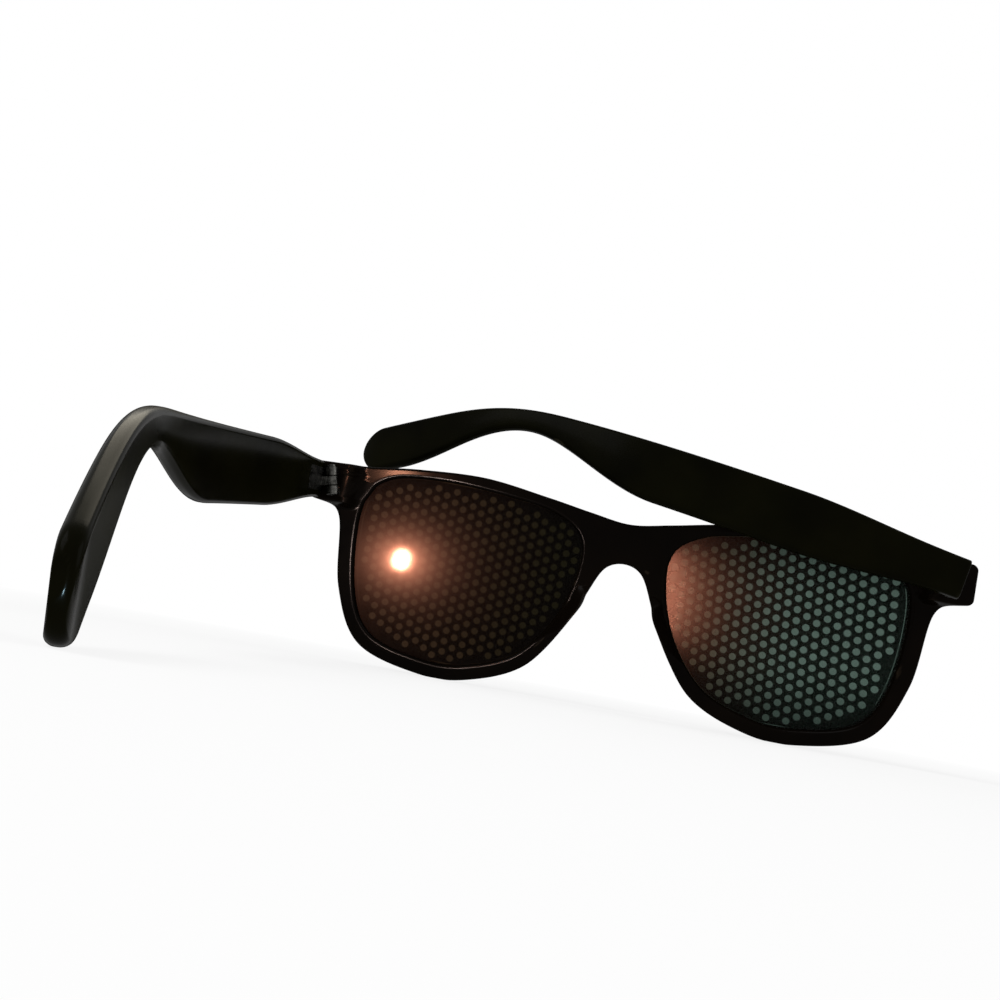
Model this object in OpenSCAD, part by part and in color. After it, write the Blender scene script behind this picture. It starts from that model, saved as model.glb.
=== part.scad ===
// Novelty glasses with perforated lens films and two folding arms.
// Millimetres. The front faces +Y, +X is the wearer's right and +Z is up.
// The origin is the middle of the nose arch, where the glasses sit on the nose.
// The left arm is drawn open and the right arm is drawn folded.

/* [Front] */
// Width of each lens opening
lens_w = 51; // [46:0.5:54]
// Height of each lens opening
lens_h = 41.8; // [37:0.2:45]
// Distance between the two lens openings
bridge_w = 20.6; // [18:0.2:24]
// Height of the bridge bar at its middle
bridge_h = 9.4; // [7:0.2:11]
// How far the bridge dips below the brow
brow_dip = 5.3; // [3:0.1:7]
// Rim over the lens opening
rim_top = 2.5; // [2:0.1:4]
// Rim beside and under the lens opening
rim_w = 3.4; // [2.8:0.1:4.5]
// Thickness of the front from face to back
front_t = 4; // [3.6:0.1:5]
// Radius of the curve that the front follows round the face
wrap_r = 190; // [170:5:260]

/* [Edges] */
// Radius of the edges round a lens opening
lip_r = 0.7; // [0.4:0.05:0.7]
// Radius of the front's outer edges
edge_r = 1.15; // [0.6:0.05:1.2]
// Radius of the arms' long edges
arm_r = 1.1; // [0.8:0.05:1.2]
// Radius of an end piece's corners
corner_r = 1.4; // [1.3:0.1:2]

/* [End pieces] */
// How far an end piece reaches past the lens opening
end_reach = 11.2; // [10:0.1:13]
// Height of an end piece
end_h = 8.5; // [7.5:0.1:9.5]
// How far the end piece's top lies below the brow
end_drop = 2.4; // [1.5:0.1:3.5]
// Thickness of an end piece at its outer edge
end_t = 4.8; // [4:0.1:6]

/* [Nose pads] */
// How far a nose pad stands out behind the rim
pad_out = 4.2; // [3:0.1:5]
// Height of a nose pad
pad_h = 15; // [12:0.5:18]
// Width of a nose pad's foot on the rim
pad_w = 2.7; // [2:0.1:3.4]
// How far the middle of a nose pad lies below the middle of the lens openings
pad_drop = 5; // [3:0.5:7]

/* [Lenses] */
// Thickness of a lens
lens_t = 1.8; // [1.4:0.1:2.2]
// Depth of the groove that holds the lens
groove_d = 0.9; // [0.6:0.1:1.2]
// Clearance round a lens in its groove
lens_fit = 0.05; // [0.02:0.01:0.15]

/* [Films] */
// Thickness of a film
film_t = 0.15; // [0.1:0.01:0.3]
// Diameter of a hole in the film
dot_d = 1.45; // [1:0.05:1.6]
// Distance between columns of holes
dot_step = 2.15; // [2:0.05:3]
// Distance between the holes of a column
dot_rise = 2.5; // [2:0.05:3]
// Angle that the columns of holes lean towards the nose
dot_tilt = 2.8; // [-10:0.2:10]
// Plain border round the film's holes
film_edge = 0.6; // [0.4:0.1:2]

/* [Arms] */
// Length of an arm along its middle line
arm_len = 146.5; // [140:0.5:152]
// Thickness of an arm at the hinge
arm_t = 2.9; // [2.7:0.1:3.6]
// Thickness of an arm at its tip
tip_t = 2.7; // [2.4:0.1:3.4]
// Greatest height of an arm
arm_h = 13.4; // [12:0.1:14.5]
// Height of the ear hook at its neck
neck_h = 5.2; // [4.4:0.1:6.4]
// Height of the ear hook near its tip
tip_h = 12.2; // [10:0.1:13]
// Length of the ear hook from the start of the bend to the tip
hook_len = 57.5; // [52:0.5:62]
// Length of the bend
bend_len = 35; // [30:1:42]
// How far before the bend the arm starts to narrow
taper_lead = 24.4; // [20:0.2:30]
// Length over which the arm narrows to the ear hook's neck
taper_len = 35.6; // [30:0.2:42]
// Angle that the arm's middle line turns down at the bend
hook_angle = 22; // [16:1:28]
// Angle that the arm rises towards the ear, below 0 where it falls
arm_rise = -1.8; // [-3:0.1:2]
// Angle that the arm turns inwards by its tip
arm_bow = 22.4; // [18:0.2:26]

/* [Hinges] */
// Radius of a hinge barrel
barrel_r = 1.3; // [1.2:0.05:1.5]
// Radius of the screw's shank
screw_r = 0.6; // [0.5:0.05:0.7]
// Running clearance round the screw's shank
screw_fit = 0.05; // [0.03:0.01:0.08]
// Height of the hinge's barrel stack
hinge_h = 6.2; // [5.4:0.1:6.6]
// Gap between neighbouring knuckles
knuckle_gap = 0.3; // [0.2:0.05:0.4]
// Thickness of a hinge leaf
leaf_t = 0.9; // [0.8:0.05:1.1]
// Angle that the hinge's axis leans outwards
hinge_lean = 13; // [10:0.5:15]

/* [Pose] */
// Angle that the right arm is folded
fold_right = 98; // [0:1:98]
// Angle that the left arm is folded
fold_left = 2.3; // [0:0.1:84]
// Angle that the front leans back when the glasses stand
stand_lean = 7.8; // [0:0.1:15]

/* [Hidden] */
$fn = 48;
eps = 0.01;
// Steps in each stretch of a smooth outline
curve_steps = 5;
// Steps across the front's faces and along the bridge's middle
face_steps = 3;
mid_steps = 5;
// Turns of a rounded edge, from the side to the face
edge_turns = [0, 45, 90];
// Facets round the circle that the curved wall belongs to
wall_facets = 360;
// Where a cutting shape starts in front of the front, and how deep it goes
cut_start = 5;
cut_depth = 60;
// Rings along an arm and points round each ring
arm_rings = 58;
ring_points = 16;
// Height that the last ring of an arm's round tip keeps
tip_flat = 0.8;

// Levels measured from the middle of the lens openings
brow_z = lens_h / 2 + rim_top;
end_top = brow_z - end_drop;
end_low = end_top - end_h;
arch_z = brow_z - brow_dip - bridge_h;
half_w = bridge_w / 2 + lens_w + end_reach;
end_back = depth(wrap_r, half_w) - end_t;
mid_r = wrap_r - front_t / 2;

// Distances along an arm from its butt end
bend_at = arm_len - hook_len;
taper_at = bend_at - taper_lead;
neck_at = taper_at + taper_len;
full_at = taper_at * 0.55;
bow_at = bend_at * 0.35;

// The hinge's axis passes behind the end piece and inside the arm
arm_inner_x = half_w - arm_t;
// Gaps between a barrel and the end piece, and between the open arm and the end piece
pin_gap = 0.25;
butt_gap = 0.1;
side_gap = pin_gap + hinge_h / 2 * tan(hinge_lean);
pin_x = arm_inner_x - barrel_r - side_gap;
pin_y = end_back - barrel_r - pin_gap;
pin_z = (end_top + end_low) / 2;

// Gap between the film's edge and the rim
film_inset = 0.2;

// Depth at x of an upright curved wall of radius r, where the front's middle is 0
function depth(r, x) = sqrt(r * r - x * x) - wrap_r;

// Places in a lens opening, from -1 to 1 across and from -1 to 1 up
function lens_x(u) = bridge_w / 2 + lens_w * (1 + u) / 2;
function lens_z(v) = v * lens_h / 2;

// Smooth curve through points
function blend(a, b, c, d, t) =
    0.5 * (2 * b + (c - a) * t + (2 * a - 5 * b + 4 * c - d) * t * t
    + (3 * b - a - 3 * c + d) * t * t * t);
function closed_curve(p) = [
    for (i = [0 : len(p) - 1], s = [0 : curve_steps - 1])
        let (n = len(p))
        blend(p[(i + n - 1) % n], p[i], p[(i + 1) % n], p[(i + 2) % n], s / curve_steps)
];
function open_curve(p) = [
    for (i = [0 : len(p) - 2], s = [0 : curve_steps - 1])
        let (last = len(p) - 1)
        let (before = i == 0 ? 2 * p[0] - p[1] : p[i - 1])
        let (after = i == last - 1 ? 2 * p[last] - p[last - 1] : p[i + 2])
        blend(before, p[i], p[i + 1], after, s / curve_steps)
];
function mirrored(p) = [for (i = [len(p) - 1 : -1 : 0]) [-p[i].x, p[i].y]];

// Points moved outwards from a clockwise loop
function outward(p, d) = [
    for (i = [0 : len(p) - 1])
        let (n = len(p))
        let (t = p[(i + 1) % n] - p[(i + n - 1) % n])
        p[i] + d * [-t.y, t.x] / norm(t)
];

// Shape of the lens opening, clockwise from its upper nasal corner
opening_shape = [
    [-1, 0.54], [-0.745, 0.842], [-0.24, 0.957], [0.376, 1], [0.824, 0.904], [1, 0.54],
    [0.957, -0.297], [0.757, -0.8], [0.278, -1], [-0.125, -0.99], [-0.58, -0.751], [-0.91, -0.158]
];
opening = [for (p = opening_shape) [lens_x(p.x), lens_z(p.y)]];
opening_curve = closed_curve(opening);
rim = outward(opening, rim_w);

// Upper outline from the middle to the end piece
brow = [
    [0, brow_z - brow_dip],
    [lens_x(-1.04), brow_z - brow_dip * 0.75],
    [lens_x(-0.63), brow_z - brow_dip * 0.4],
    [lens_x(-0.04), brow_z],
    [lens_x(0.55), brow_z - end_drop * 0.25],
    [lens_x(1.02), brow_z - end_drop * 0.85],
    [half_w, end_top]
];
// Sides of the nose arch, out from and down from its top, as shares of its half width
arch_sides = [[0.72, 0.77], [0.42, 0.175]];
// Two points of the notch between end piece and rim, as shares of the rim's width: out from the
// middle of the end piece's underside or from the rim, and down from the end piece
notch_sides = [[0.47, 0.09], [0.35, 1]];
// Lower outline from the end piece round the rim to the nose arch
notch_x = lens_x(1) + rim_w;
under = [
    [half_w, end_low],
    [(half_w + notch_x) / 2 + rim_w * notch_sides[0].x, end_low - rim_w * notch_sides[0].y],
    [notch_x + rim_w * notch_sides[1].x, end_low - rim_w * notch_sides[1].y],
    rim[6], rim[7], rim[8], rim[9], rim[10], rim[11],
    for (a = arch_sides) [bridge_w / 2 * a.x, arch_z - bridge_w / 2 * a.y],
    [0, arch_z]
];
brow_full = concat(mirrored(brow), [for (i = [1 : len(brow) - 1]) brow[i]]);
under_full = concat(under, [for (i = [len(under) - 2 : -1 : 0]) [-under[i].x, under[i].y]]);
brow_curve = open_curve(brow_full);
under_curve = open_curve(under_full);

// Twice the area between two directions
function area2(a, b) = a.x * b.y - a.y * b.x;

// Points round a corner on an arc that touches the lines to a and to b
function rounded(a, corner, b) =
    let (u = (a - corner) / norm(a - corner), v = (b - corner) / norm(b - corner))
    let (middle = corner + (u + v) * corner_r / abs(area2(u, v)))
    let (first = corner + u * corner_r * (1 + u * v) / abs(area2(u, v)) - middle)
    [
        for (t = [0 : 0.25 : 1])
            let (angle = atan2(first.y, first.x) - t * (180 - acos(u * v)))
            middle + corner_r * [cos(angle), sin(angle)]
    ];

// Outline of the right half, clockwise from the middle of the brow to the middle of the arch
half_brow = [
    for (i = [(len(brow) - 1) * curve_steps : len(brow_curve) - 1])
        if (brow_curve[i].x < half_w - 2 * corner_r) brow_curve[i]
];
half_under = [
    for (i = [0 : (len(under) - 1) * curve_steps])
        if (under_curve[i].x < half_w - 2 * corner_r) under_curve[i]
];
end_corners = [[half_w, end_top], [half_w, end_low]];
outline = concat(
    half_brow,
    rounded(half_brow[len(half_brow) - 1], end_corners[0], end_corners[1]),
    rounded(end_corners[0], end_corners[1], half_under[0]),
    half_under
);
// The bridge's mid-line closes the right half
mid_low = arch_z + edge_r;
mid_top = brow_z - brow_dip - edge_r;
stations = concat(
    outline,
    [for (i = [1 : mid_steps]) [0, mid_low + (mid_top - mid_low) * i / (mid_steps + 1)]]
);
n_out = len(outline);
n_all = len(stations);

// Direction into the plastic from a station on the outline
function inwards(k) =
    k >= n_out ? [0, 0] :
    k == 0 ? [0, -1] :
    k == n_out - 1 ? [0, 1] :
    let (t = stations[k + 1] - stations[k - 1]) [t.y, -t.x] / norm(t);

// Point of the lens opening that faces a station, and the direction from it into the plastic.
// The sections fan out from a place that sees the whole outline, the end piece's underside too.
opening_mid = [lens_x(0), end_low + edge_r / 2];
opening_out = outward(opening_curve, 1);
facing = [
    for (k = [0 : n_all - 1])
        let (d = stations[k] - opening_mid)
        [
            for (i = [0 : len(opening_curve) - 1])
                let (m = (i + 1) % len(opening_curve))
                let (a = opening_curve[i] - opening_mid, b = opening_curve[m] - opening_mid)
                if (a * d > 0 && area2(d, a) >= 0 && area2(d, b) < 0)
                    let (t = area2(d, a) / (area2(d, a) - area2(d, b)))
                    let (out_a = opening_out[i] - opening_curve[i], out_b = opening_out[m] - opening_curve[m])
                    let (out = out_a + (out_b - out_a) * t)
                    [opening_mid + a + (b - a) * t, out / norm(out)]
        ][0]
];

// Shares of the rim's width over which the end block thickens, outwards and upwards
block_ramp = [0.7, 0.45];
// Where on the lens opening the nose pad fades out, from -1 to 1 across, and over what share
pad_fade = [-0.35, 0.12];
// Powers that round the nose pad's ridge along it and across it
pad_round = [0.8, 0.75];

// Depth of the front's back face. It thickens at the end piece and rises into the nose pad,
// whose ridge follows the outer edge.
function back_at(p, to_edge) =
    let (plain = depth(wrap_r - front_t, p.x))
    let (block = eased((p.x - lens_x(1) - lip_r) / (rim_w * block_ramp.x)))
    let (over = eased((p.y - end_low) / (rim_w * block_ramp.y) + 1))
    let (along = min(abs(p.y + pad_drop) / (pad_h / 2), 1))
    let (nasal = eased((lens_x(pad_fade.x) - p.x) / (lens_w * pad_fade.y)))
    let (ridge = pow(1 - along * along, pad_round.x) * pow(max(1 - to_edge / pad_w, 0), pad_round.y))
    plain + block * over * min(end_back - plain, 0) - pad_out * nasal * ridge;

// Closed section of the front between the lens opening and a station, from the lip at the
// opening over the face, round the outer edge, over the back and through the lens groove
function section(k) =
    let (o = stations[k], w = inwards(k), i = facing[k][0], g = facing[k][1])
    let (near = i + g * lip_r, far = o + w * edge_r)
    let (out = i + g * groove_d)
    let (slot_front = mid_r + lens_t / 2 + lens_fit, slot_back = mid_r - lens_t / 2 - lens_fit)
    let (turns_back = [for (t = [len(edge_turns) - 1 : -1 : 0]) edge_turns[t]])
    concat(
        [for (t = edge_turns) let (p = i + g * lip_r * (1 - cos(t)))
            [p.x, depth(wrap_r, p.x) - lip_r * (1 - sin(t)), p.y]],
        [for (f = [1 : face_steps]) let (p = near + (far - near) * f / (face_steps + 1))
            [p.x, depth(wrap_r, p.x), p.y]],
        [for (t = turns_back) let (p = o + w * edge_r * (1 - cos(t)))
            [p.x, depth(wrap_r, p.x) - edge_r * (1 - sin(t)), p.y]],
        [for (t = edge_turns) let (p = o + w * edge_r * (1 - cos(t)))
            [p.x, back_at(p, norm(p - o)) + edge_r * (1 - sin(t)), p.y]],
        [for (f = [face_steps : -1 : 1]) let (p = near + (far - near) * f / (face_steps + 1))
            [p.x, back_at(p, norm(p - o)), p.y]],
        [for (t = turns_back) let (p = i + g * lip_r * (1 - cos(t)))
            [p.x, back_at(p, norm(p - o)) + lip_r * (1 - sin(t)), p.y]],
        [
            [i.x, depth(slot_back, i.x), i.y], [out.x, depth(slot_back, out.x), out.y],
            [out.x, depth(slot_front, out.x), out.y], [i.x, depth(slot_front, i.x), i.y]
        ]
    );
right_points = [for (k = [0 : n_all - 1]) each section(k)];
front_points = concat(right_points, [for (p = right_points) [-p.x, p.y, p.z]]);
section_n = len(section(0));
// The halves share the points of the outer edge on the mid-line and have no faces between them
rim_first = len(edge_turns) + face_steps;
rim_last = rim_first + 2 * len(edge_turns) - 1;
function shared(k, j) = (k == 0 || k >= n_out - 1) && j >= rim_first && j <= rim_last;
function spot(side, k, j) = (side > 0 || shared(k, j) ? 0 : len(right_points)) + k * section_n + j;
front_faces = [
    for (side = [-1, 1], k = [0 : n_all - 1], j = [0 : section_n - 1])
        if (k < n_out - 1 || j < rim_first || j >= rim_last)
            let (m = (k + 1) % n_all, q = (j + 1) % section_n)
            let (a = spot(side, k, j), b = spot(side, m, j), c = spot(side, m, q), d = spot(side, k, q))
            each side > 0 ? [[a, b, c], [a, c, d]] : [[a, c, b], [a, d, c]]
];

// Moves the front's own frame to the standing frame, with the origin at the nose arch
module standing() {
    rotate([stand_lean, 0, 0])
        translate([0, front_t / 2, -arch_z])
            children();
}

// Draws its children for the right side, or mirrored for the left
module side(s) {
    mirror([s < 0 ? 1 : 0, 0, 0])
        children();
}

// Flat drawing in X and Z made deep enough to cut the whole front
module through() {
    translate([0, cut_start, 0])
        rotate([90, 0, 0])
            linear_extrude(height = cut_depth)
                children();
}

// Upright curved wall that the front, lenses and films follow
module wall(outer, inner) {
    translate([0, -wrap_r, -lens_h])
        difference() {
            cylinder(r = outer, h = 2 * lens_h, $fn = wall_facets);
            translate([0, 0, -1])
                cylinder(r = inner, h = 2 * lens_h + 2, $fn = wall_facets);
        }
}

module front_frame() {
    color([0.16, 0.09, 0.06])
        standing()
            difference() {
                polyhedron(front_points, front_faces, convexity = 8);
                for (s = [-1, 1])
                    side(s)
                        at_hinge()
                            front_leaf_tongue(leaf_fit);
            }
}

module lens(s) {
    color([0.1, 0.14, 0.12, 0.85])
        standing()
            side(s)
                intersection() {
                    through()
                        polygon([for (f = facing) f[0] + f[1] * (groove_d - lens_fit)]);
                    wall(mid_r + lens_t / 2, mid_r - lens_t / 2);
                }
}

// Columns and rows of holes on each side of the middle, and the directions along them
hole_cols = floor(lens_w / 2 / dot_step) + 1;
hole_rows = floor(lens_h / 2 / dot_rise) + 1;
hole_right = [cos(dot_tilt), sin(dot_tilt)];
hole_up = [-sin(dot_tilt), cos(dot_tilt)];

// Is a point inside a loop
function crosses(a, b, p) =
    (a.y > p.y) != (b.y > p.y) && p.x < (b.x - a.x) * (p.y - a.y) / (b.y - a.y) + a.x;
function inside(loop, p) =
    len([for (i = [0 : len(loop) - 1]) if (crosses(loop[i], loop[(i + 1) % len(loop)], p)) 1]) % 2 == 1;

module lens_film(s) {
    bound = closed_curve(outward(opening, -film_edge - dot_d / 2));
    middle = [lens_x(0), lens_z(0)];
    color([0.45, 0.52, 0.52])
        standing()
            side(s)
                intersection() {
                    through()
                        difference() {
                            polygon(closed_curve(outward(opening, -film_inset)));
                            for (c = [-hole_cols : hole_cols], r = [-hole_rows : hole_rows]) {
                                rise = c % 2 == 0 ? 0 : dot_rise / 2;
                                spot = middle + hole_right * c * dot_step + hole_up * (r * dot_rise + rise);
                                if (inside(bound, spot))
                                    translate(spot)
                                        circle(d = dot_d, $fn = 16);
                            }
                        }
                    wall(mid_r + lens_t / 2 + film_t, mid_r + lens_t / 2);
                }
}

// Share of a smooth step
function eased(t) = let (c = min(max(t, 0), 1)) c * c * (3 - 2 * c);

// Direction of the arm's middle line at a distance s, for the right arm open
function turn_in(s) = arm_bow * eased((s - bow_at) / (arm_len - bow_at));
function turn_up(s) = arm_rise * eased(s / end_h) - hook_angle * eased((s - bend_at) / bend_len);
function arm_way(s) = [
    -sin(turn_in(s)) * cos(turn_up(s)), -cos(turn_in(s)) * cos(turn_up(s)), sin(turn_up(s))
];
arm_step = arm_len / (arm_rings - 1);
arm_path = [
    for (i = 0, p = [half_w - arm_t / 2, end_back - butt_gap, pin_z]; i < arm_rings;
        i = i + 1, p = p + arm_step * arm_way((i - 0.5) * arm_step)) p
];

// Height of the arm at a distance s from its butt end
function between(a, b, t) = a + (b - a) * eased(t);
function arm_height(s) =
    s < full_at ? between(end_h, arm_h, s / full_at) :
    s < taper_at ? arm_h :
    s < neck_at ? between(arm_h, neck_h, (s - taper_at) / taper_len) :
    between(neck_h, tip_h, (s - neck_at) / (arm_len - neck_at - tip_h));
// The tip is round, seen from the side
function tip_share(s) = let (r = tip_h / 2, d = max(arm_len - s, 0)) d >= r ? 1 : sqrt(1 - pow(1 - d / r, 2));

// How far the middle of a section lies above the middle line, because only the arm's
// lower edge steps up where it narrows
function arm_lift(s) = s < taper_at ? 0 : (arm_h - arm_height(s)) / 2;

// One ring of the arm: a rectangle with rounded corners
function ring(i) =
    let (s = i * arm_step)
    let (across = [cos(turn_in(s)), -sin(turn_in(s)), 0], tall = -cross(arm_way(s), across))
    let (h = max(arm_height(s) * tip_share(s), tip_flat) / 2)
    let (w = (arm_t + (tip_t - arm_t) * s / arm_len) / 2)
    let (r = min(arm_r, h * 0.6), middle = arm_path[i] - tall * arm_lift(s))
    [
        for (k = [0 : ring_points - 1])
            let (q = floor(k / (ring_points / 4)))
            let (a = 90 * (k % (ring_points / 4)) / (ring_points / 4 - 1) + 90 * q)
            let (cx = (q == 0 || q == 3) ? w - r : r - w, cz = q < 2 ? h - r : r - h)
            middle + across * (cx + r * cos(a)) + tall * (cz + r * sin(a))
    ];
arm_points = [for (i = [0 : arm_rings - 1]) each ring(i)];
arm_faces = concat(
    [[for (k = [ring_points - 1 : -1 : 0]) k]],
    [for (i = [0 : arm_rings - 2], k = [0 : ring_points - 1], half = [0, 1])
        let (a = i * ring_points + k, b = i * ring_points + (k + 1) % ring_points)
        half == 0 ? [a, b, a + ring_points] : [b, b + ring_points, a + ring_points]],
    [[for (k = [0 : ring_points - 1]) (arm_rings - 1) * ring_points + k]]
);

// Moves its children to the hinge's axis, for the right side
module at_hinge() {
    translate([pin_x, pin_y, pin_z])
        rotate([0, hinge_lean, 0])
            children();
}

// Folds its children inwards about the hinge's axis, for the right side
module folded(angle) {
    at_hinge()
        rotate([0, 0, -angle])
            rotate([0, -hinge_lean, 0])
                translate([-pin_x, -pin_y, -pin_z])
                    children();
}

// Three knuckles: the front leaf has the outer two and the arm leaf has the middle one
mid_h = (hinge_h - 2 * knuckle_gap) / 3;
// Gap round a leaf let into plastic
leaf_fit = 0.05;
// How deep the front leaf's tongue sits in the end block
tongue_d = 2.2;
// How far the arm leaf's plate reaches along the arm, and how proud of it the plate lies
plate_len = 10;
plate_proud = 0.25;
plate_h = hinge_h - 1;
head_r = barrel_r - 0.25;
head_h = 0.5;
slot_w = 0.3;

// Bore for the screw right through the stack of knuckles
module screw_bore() {
    translate([0, 0, -hinge_h])
        cylinder(r = screw_r + screw_fit, h = 2 * hinge_h);
}

// Flat plate across the hinge's height that sits in the end block
module front_leaf_tongue(grow) {
    translate([-barrel_r - grow, pin_gap + barrel_r - grow, -hinge_h / 2 - grow])
        cube([2 * (barrel_r + grow), tongue_d + 2 * grow, hinge_h + 2 * grow]);
}

module front_hinge_leaf(s) {
    color([0.8, 0.8, 0.78])
        standing()
            side(s)
                at_hinge()
                    difference() {
                        union() {
                            for (k = [-1, 1])
                                translate([0, 0, k * (mid_h + knuckle_gap) - mid_h / 2])
                                    linear_extrude(height = mid_h)
                                        union() {
                                            circle(r = barrel_r);
                                            translate([-barrel_r, 0])
                                                square([2 * barrel_r, barrel_r + pin_gap + tongue_d / 2]);
                                        }
                            front_leaf_tongue(0);
                        }
                        screw_bore();
                    }
}

// Plate let into the inner face of the arm
module arm_leaf_plate(grow) {
    translate([
        arm_inner_x - plate_proud - grow,
        pin_y + barrel_r / 2 - plate_len - grow,
        pin_z - plate_h / 2 - grow
    ])
        cube([leaf_t + plate_proud + 2 * grow, plate_len + 2 * grow, plate_h + 2 * grow]);
}

module arm_hinge_leaf(s) {
    color([0.8, 0.8, 0.78])
        standing()
            side(s)
                folded(s > 0 ? fold_right : fold_left)
                    difference() {
                        union() {
                            arm_leaf_plate(0);
                            at_hinge()
                                translate([0, 0, -mid_h / 2]) {
                                    cylinder(r = barrel_r, h = mid_h);
                                    translate([0, -barrel_r, 0])
                                        cube([barrel_r + side_gap, 1.5 * barrel_r, mid_h]);
                                }
                        }
                        at_hinge()
                            screw_bore();
                    }
}

module arm(s) {
    color([0.14, 0.08, 0.06])
        standing()
            side(s)
                folded(s > 0 ? fold_right : fold_left)
                    difference() {
                        polyhedron(arm_points, arm_faces, convexity = 6);
                        arm_leaf_plate(leaf_fit);
                    }
}

module hinge_screw(s) {
    color([0.7, 0.7, 0.68])
        standing()
            side(s)
                at_hinge()
                    difference() {
                        union() {
                            translate([0, 0, -hinge_h / 2 - 0.2])
                                cylinder(r = screw_r, h = hinge_h + 0.2 + eps);
                            translate([0, 0, hinge_h / 2])
                                cylinder(r = head_r, h = head_h);
                        }
                        translate([-head_r - 1, -slot_w / 2, hinge_h / 2 + head_h / 2])
                            cube([2 * head_r + 2, slot_w, head_h]);
                    }
}

front_frame();
lens(-1);  // left_lens
lens(1);  // right_lens
lens_film(-1);  // left_lens_film
lens_film(1);  // right_lens_film
front_hinge_leaf(-1);  // left_front_hinge_leaf
front_hinge_leaf(1);  // right_front_hinge_leaf
arm(-1);  // left_temple
arm(1);  // right_temple
arm_hinge_leaf(-1);  // left_temple_hinge_leaf
arm_hinge_leaf(1);  // right_temple_hinge_leaf
hinge_screw(-1);  // left_hinge_screw
hinge_screw(1);  // right_hinge_screw
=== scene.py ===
"""Novelty glasses with perforated lens films, the left arm open and the right arm folded."""
import bpy
import bmesh
import math
import numpy as np
from collections import Counter
from mathutils import Matrix, Vector


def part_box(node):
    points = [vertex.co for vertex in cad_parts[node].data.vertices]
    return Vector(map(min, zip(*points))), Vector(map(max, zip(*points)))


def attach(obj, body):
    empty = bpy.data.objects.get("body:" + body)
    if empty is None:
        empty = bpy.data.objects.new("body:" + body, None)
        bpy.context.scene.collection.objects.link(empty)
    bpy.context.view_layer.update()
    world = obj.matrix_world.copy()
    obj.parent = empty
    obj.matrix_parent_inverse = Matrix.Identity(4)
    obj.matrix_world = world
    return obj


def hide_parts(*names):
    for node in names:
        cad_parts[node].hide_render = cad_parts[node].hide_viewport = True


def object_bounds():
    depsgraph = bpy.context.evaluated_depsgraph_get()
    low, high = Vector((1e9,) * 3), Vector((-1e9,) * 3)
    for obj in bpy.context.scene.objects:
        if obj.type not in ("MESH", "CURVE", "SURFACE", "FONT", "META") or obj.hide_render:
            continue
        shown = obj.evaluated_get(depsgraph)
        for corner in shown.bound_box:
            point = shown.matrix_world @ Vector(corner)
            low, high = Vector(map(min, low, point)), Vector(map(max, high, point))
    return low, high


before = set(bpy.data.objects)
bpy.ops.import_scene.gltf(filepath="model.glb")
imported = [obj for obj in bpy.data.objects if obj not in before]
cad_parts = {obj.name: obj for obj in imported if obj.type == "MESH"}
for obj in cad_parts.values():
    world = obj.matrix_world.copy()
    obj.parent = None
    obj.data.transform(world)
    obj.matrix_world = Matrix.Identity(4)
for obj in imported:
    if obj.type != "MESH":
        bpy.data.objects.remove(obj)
cad_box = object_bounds()

# Sizes of the part, in millimetres and degrees
LENS_W, LENS_H, BRIDGE_W, BRIDGE_H, BROW_DIP = 51.0, 41.8, 20.6, 9.4, 5.3
RIM_TOP, RIM_W, FRONT_T, WRAP_R = 2.5, 3.4, 4.0, 190.0
END_REACH, END_H, END_DROP, END_T, CORNER_R = 11.2, 8.5, 2.4, 4.8, 1.4
PAD_OUT, PAD_H, PAD_W, PAD_DROP = 4.2, 15.0, 2.7, 5.0
LENS_T, GROOVE_D, LENS_FIT = 1.8, 0.9, 0.05
FILM_T, FILM_EDGE, FILM_INSET = 0.15, 0.6, 0.2
HOLE_D, DOT_STEP, DOT_RISE, DOT_TILT = 1.45, 2.15, 2.5, 2.8
ARM_LEN, ARM_T, TIP_T, ARM_H, NECK_H, TIP_H, ARM_R = 146.5, 2.9, 2.7, 13.4, 5.2, 12.2, 1.1
HOOK_LEN, BEND_LEN, TAPER_LEAD, TAPER_LEN = 57.5, 35.0, 24.4, 35.6
HOOK_ANGLE, ARM_RISE, ARM_BOW = 22.0, -1.8, 22.4
BARREL_R, HINGE_H, HINGE_LEAN, PIN_GAP, BUTT_GAP = 1.3, 6.2, 13.0, 0.25, 0.1
FOLD_RIGHT, FOLD_LEFT, STAND_LEAN = 98.0, 2.3, 7.8

# Details drawn as they look in the photograph. The solids' lips, edges and holes have other sizes
LIP_R, EDGE_R, BUTT_R, TIP_LEAST, DOT_D = 0.85, 0.5, 0.35, 0.5, 1.6
FILM_TIGHT, GAP_START, GAP_RUN = 0.05, 5.0, 4.0

# How finely curves and lofts are cut
OPENING_STEPS, FACING_STEPS, OUTLINE_STEPS = 10, 24, 16
EDGE_RINGS, FLAT_RINGS, MIDDLE_POINTS, CORNER_POINTS = 7, 12, 14, 9
LENS_RINGS, DOT_SIDES, TIP_RINGS, ARM_RINGS = 22, 18, 20, 170

MM_PER_M = 1000
MERGE = 2e-6
TINY = 1e-12

BROW_Z = LENS_H / 2 + RIM_TOP
END_TOP = BROW_Z - END_DROP
END_LOW = END_TOP - END_H
ARCH_Z = BROW_Z - BROW_DIP - BRIDGE_H
HALF_W = BRIDGE_W / 2 + LENS_W + END_REACH
MID_R = WRAP_R - FRONT_T / 2
BEND_AT = ARM_LEN - HOOK_LEN
TAPER_AT = BEND_AT - TAPER_LEAD
NECK_AT = TAPER_AT + TAPER_LEN
BOW_AT = BEND_AT * 0.35
FULL_AT = TAPER_AT * 0.55


def surf(radius, x):
    """Depth of an upright curved wall of that radius at x."""
    return np.sqrt(radius ** 2 - np.asarray(x) ** 2) - WRAP_R


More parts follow.
